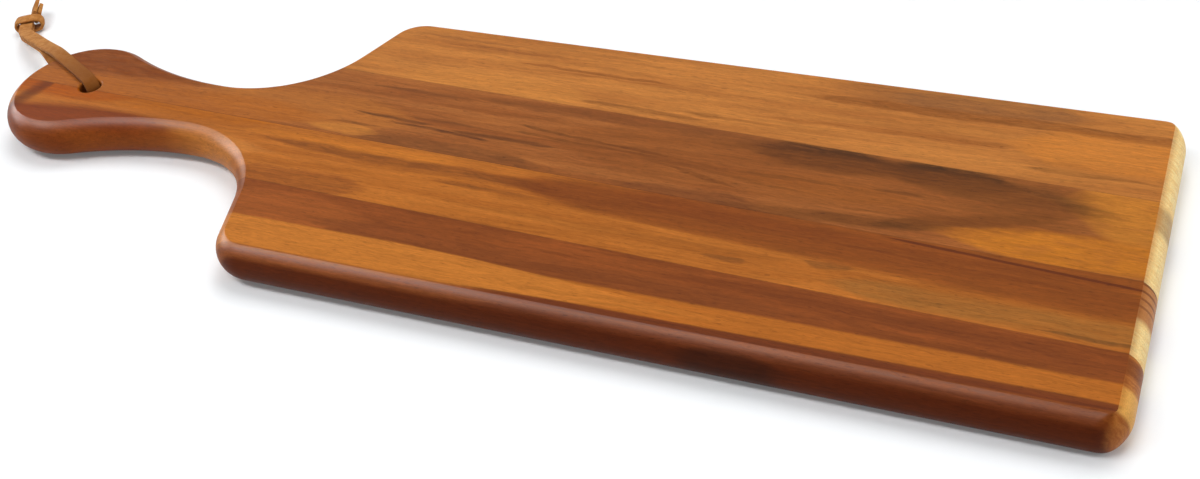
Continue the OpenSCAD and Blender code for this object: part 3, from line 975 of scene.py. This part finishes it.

# %% [markdown]
# ## The figure of the front stave
# The darkest stave has one pale strip of sapwood along it and a dark lower edge, which is partly the
# wood's own and partly painted shade on the side that turns from the light. These run on over the
# rounded rim, and a tilt of its own, larger than the others', carries them down the side.

# %% Front stave: dark red-brown, with one pale strip and a dark edge that is partly painted shade
DARK = [(138, 71, 25), (117, 58, 17)]
front_figure = [
    ("crisp", -58, 0, 8, 4, -110, -46, 24, 0.5, (158, 86, 34)),
    ("crisp", -62, -0.02, 3, 3.5, -56, 130, 34, 0.42, (104, 52, 18)),
    ("soft", -57, -0.02, 3, 3, 90, 262, 24, 0.5, (110, 52, 14)),
    ("crisp", -74.9, 0, 4.8, 1.8, -260, 290, 20, 0.95, (172, 98, 30)),
    ("crisp", -75.3, 0, 8.6, 1.4, -300, 62, 90, 0.95, (184, 111, 40)),
    ("soft", -72, -0.004, 0.8, 1.4, 20, 240, 24, 0.5, (150, 82, 26)),
    ("soft", -76, 0, 1.5, 2.5, 150, 264, 24, 0.5, (196, 122, 44)),
    ("crisp", -82.8, 0.01, 1.4, 1.0, 20, 262, 30, 0.85, (100, 44, 14)),
    ("crisp", -84.3, 0, 1.1, 1.0, -106, 44, 22, 0.6, (128, 64, 26)),
    # These two rows darken the lower front side: partly the wood's own dark edge, partly painted shade
    # where the side turns from the light
    ("crisp", -88, 0, 0.9, 2.4, 24, 264, 30, 0.75, (98, 42, 12)),
    ("crisp", -92, 0, 2.9, 2.1, -104, 264, 22, 0.95, (84, 31, 3)),
    ("crisp", -90, 0, 1.2, 2.6, 104, 136, 14, 0.55, (40, 16, 4))]
front_wood = wood("front_wood", DARK, front_figure, [(190, 118, 52), (160, 88, 36)],
                  [(-76, 0, 5, 2, 240, 260, 1, 0.85, (236, 176, 88)),
                   (-60, 0, 3, 1.5, 240, 260, 1, 0.7, (120, 62, 26))], tilt=0.2)
dress(front_stave, front_wood)

# %% [markdown]
# ## The leather
# The lace is a strip of tan leather with its napped side out: matt and mottled. Near the hole it is
# painted darker by its distance from the hole, as painted shade. Painting
# that by hand on each piece would show where the pieces meet, and a distance doesn't. The strap is
# thin, so one finish serves its faces and its cut edges.

# %% Mix the leather
MOTTLE = ((0.35, 0.35, 0.35), 3.0, 0.6)
GRIT = ((3.0, 3.0, 3.0), 3.0, 0.7)
MOTTLE_RANGE = (0.35, 0.65)
GRIT_RANGE = (0.5, 0.75, 0.0, 0.5)
# How much painted shade darkens the leather from near the hole to far from it, and how far the mottle
# shifts that
HOLE_SHADE_RANGE = (18.0, 76.0, 0.85, 0.0)
HOLE_SHADE_SHIFT = 20.0
TAN = [(192, 132, 70), (172, 110, 50)]
TAN_GRIT = (132, 80, 34)
# The tone of the painted shade near the hole
TAN_HOLE_SHADE = (116, 62, 12)
LEATHER_ROUGHNESS = 0.8
LEATHER_GLOSS = 0.04
LEATHER_SHEEN = 0.02
NAP_RELIEF = 0.6
NAP_DEPTH = 0.2 * MM


def leather(name):
    """A matt mottled finish, with painted shade that darkens it towards the hole."""
    finish, bench, shader = new_finish(name)
    place = bench.stretch(bench.add("ShaderNodeTexCoord", {}).outputs["Object"], PER_MM)
    apart = bench.add("ShaderNodeVectorMath", {0: place, 1: HOLE / MM}, operation="DISTANCE")
    mottle = bench.noise(place, *MOTTLE)
    grit = bench.noise(place, *GRIT)
    colour = bench.blend(bench.ease(mottle, *MOTTLE_RANGE), tone(*TAN[0]), tone(*TAN[1]))
    colour = bench.blend(bench.ease(grit, *GRIT_RANGE), colour, tone(*TAN_GRIT))
    # Painted shade: the leather darkens towards the hole
    from_hole = bench.sum("MULTIPLY_ADD", mottle, HOLE_SHADE_SHIFT, apart.outputs["Value"])
    colour = bench.blend(bench.ease(from_hole, *HOLE_SHADE_RANGE), colour, tone(*TAN_HOLE_SHADE))
    bench.put(shader, "Base Color", colour)
    bench.put(shader, "Roughness", LEATHER_ROUGHNESS)
    bench.put(shader, "Specular IOR Level", LEATHER_GLOSS)
    bench.put(shader, "Sheen Weight", LEATHER_SHEEN)
    bench.put(shader, "Normal", bench.relief(grit, NAP_RELIEF, NAP_DEPTH))
    return finish


tan_leather = leather("leather_face")
for piece in (upper_strand, lower_strand, knot, long_tail, short_tail):
    dress(piece, tan_leather)

# %% [markdown]
# ## The table
# The board lies on a plain table, a flat sheet far larger than the view. The handle's end rests on the
# lace and the blade on its far edge, so the table is tilted by that hair under the board. Tilting
# the board instead would take it out of the frame that every piece shares.

# %% Lay the table
# Where the handle bears on the lace
BEARING_X = -219 * MM
FAR_REST = Vector((HALF_L - RIM_INSET, 0, -HALF_T))
LACE_REST = Vector((BEARING_X, 0, LACE_LOW * MM - HALF_T))
TABLE_HALF = 6.0
rest_slope = math.atan2(FAR_REST.z - LACE_REST.z, FAR_REST.x - LACE_REST.x)
bm = bmesh.new()
bmesh.ops.create_grid(bm, x_segments=1, y_segments=1, size=TABLE_HALF)
table = link("table", mesh_from("table", bm))
table.location = LACE_REST
table.rotation_euler = (0, -rest_slope, 0)
print("table tilted by", round(math.degrees(rest_slope), 2), "degrees")

# %% [markdown]
# ## A white ground
# The photograph has a pure white ground with a soft grey shadow before the front edge. More light would
# whiten the table, but bleach the wood with it. So the table is nearly white, and what is seen of it
# directly or in a gloss gets a little extra light of its own, which doesn't fall on the board. That
# light grows away from the board, where the lamps fall off, so the ground is white from low down too.

# %% Finish the table
TABLE_WHITE = (0.89, 0.91, 0.93, 1)
TABLE_ROUGHNESS = 0.9
SEEN_GLOW = 0.11
GLOW_TINT = (0.95, 0.98, 1, 1)
# How far from the handle the glow starts and stops to grow, in metres
GLOW_GROWS = (0.7, 2.5)


def seen_directly(bench):
    """1 for what is seen directly, in a gloss or through glass, 0 for light on its way to a surface."""
    path = bench.add("ShaderNodeLightPath", {}).outputs
    seen = bench.sum("MAXIMUM", path["Is Camera Ray"], path["Is Glossy Ray"])
    return bench.sum("MAXIMUM", seen, path["Is Transmission Ray"])


table_finish, bench, shader = new_finish("table_white")
bench.put(shader, "Base Color", TABLE_WHITE)
bench.put(shader, "Roughness", TABLE_ROUGHNESS)
bench.put(shader, "Specular IOR Level", 0.0)
place = bench.add("ShaderNodeTexCoord", {}).outputs["Object"]
away = bench.add("ShaderNodeVectorMath", {0: place}, operation="LENGTH").outputs["Value"]
glow = bench.sum("MULTIPLY", seen_directly(bench), bench.ease(away, *GLOW_GROWS, SEEN_GLOW, 1.0))
bench.put(shader, "Emission Color", GLOW_TINT)
bench.put(shader, "Emission Strength", glow)
dress(table, table_finish)

# %% [markdown]
# ## The lamps
# Three plain softboxes and three cards. The large box stands high behind the board and gives most of
# the light, so the front edge falls into soft shade. A long box at the front left opens that shade,
# and a weak one past the far end lights the pale end grain. The cards are seen in gloss alone: they
# draw the satin highlight along the front rounding, brighter towards the handle and round the hollow
# of the neck, as white reflectors do in a studio, and add no light to the colours.

# %% Hang the lamps
# Each lamp: its name, its place, where it is aimed, its width and height in metres, and its watts
BOXES = [("back_box", (0.1, 0.7, 1.9), (0, 0, 0), 1.3, 1.3, 22),
         ("long_box", (-0.6, -0.65, 1.5), (-0.6, -0.05, 0), 1.6, 0.35, 16),
         ("side_box", (1.7, 0.1, 0.8), (0.2, 0, 0), 1.0, 1.0, 6)]
CARDS = [("shine_card", (-0.6, -0.7, 1.55), (-0.6, -0.05, 0), 2.0, 0.7, 80),
         ("handle_card", (-1.35, -0.7, 1.55), (-0.6, -0.05, 0), 1.2, 0.7, 70),
         ("left_card", (-1.5, 0.05, 0.5), (-0.1, -0.05, 0), 0.8, 0.5, 34)]


def lamp(name, place, aim, wide, tall, power):
    """A flat lamp, turned to face what it is aimed at."""
    light = bpy.data.lights.new(name, "AREA")
    light.shape = "RECTANGLE"
    light.size = wide
    light.size_y = tall
    light.energy = power
    hung = bpy.data.objects.new(name, light)
    bpy.context.scene.collection.objects.link(hung)
    hung.location = place
    hung.rotation_mode = "QUATERNION"
    hung.rotation_quaternion = (Vector(aim) - Vector(place)).to_track_quat("-Z", "Y")
    return hung


for box in BOXES:
    lamp(*box)
for card in CARDS:
    lamp(*card).visible_diffuse = False

# %% [markdown]
# ## The room
# Light from all round keeps the shadows open. A studio could be built for it, but an even world does
# the same here: dim where it lights the board, and pure white where it is seen.

# %% Light the room
ROOM_LEVEL = 0.15
world = bpy.data.worlds.new("room")
bpy.context.scene.world = world
world.use_nodes = True
bench = Bench(world.node_tree)
room = world.node_tree.nodes["Background"]
bench.put(room, "Color", (1, 1, 1, 1))
bench.put(room, "Strength", bench.between(seen_directly(bench), ROOM_LEVEL, 1.0))
bpy.context.scene.view_settings.view_transform = "Standard"
print("the room lights the board at", ROOM_LEVEL)

# %% [markdown]
# ## Closing the lesson
# The box of the finished pieces should match the box of the solids that they stand for.
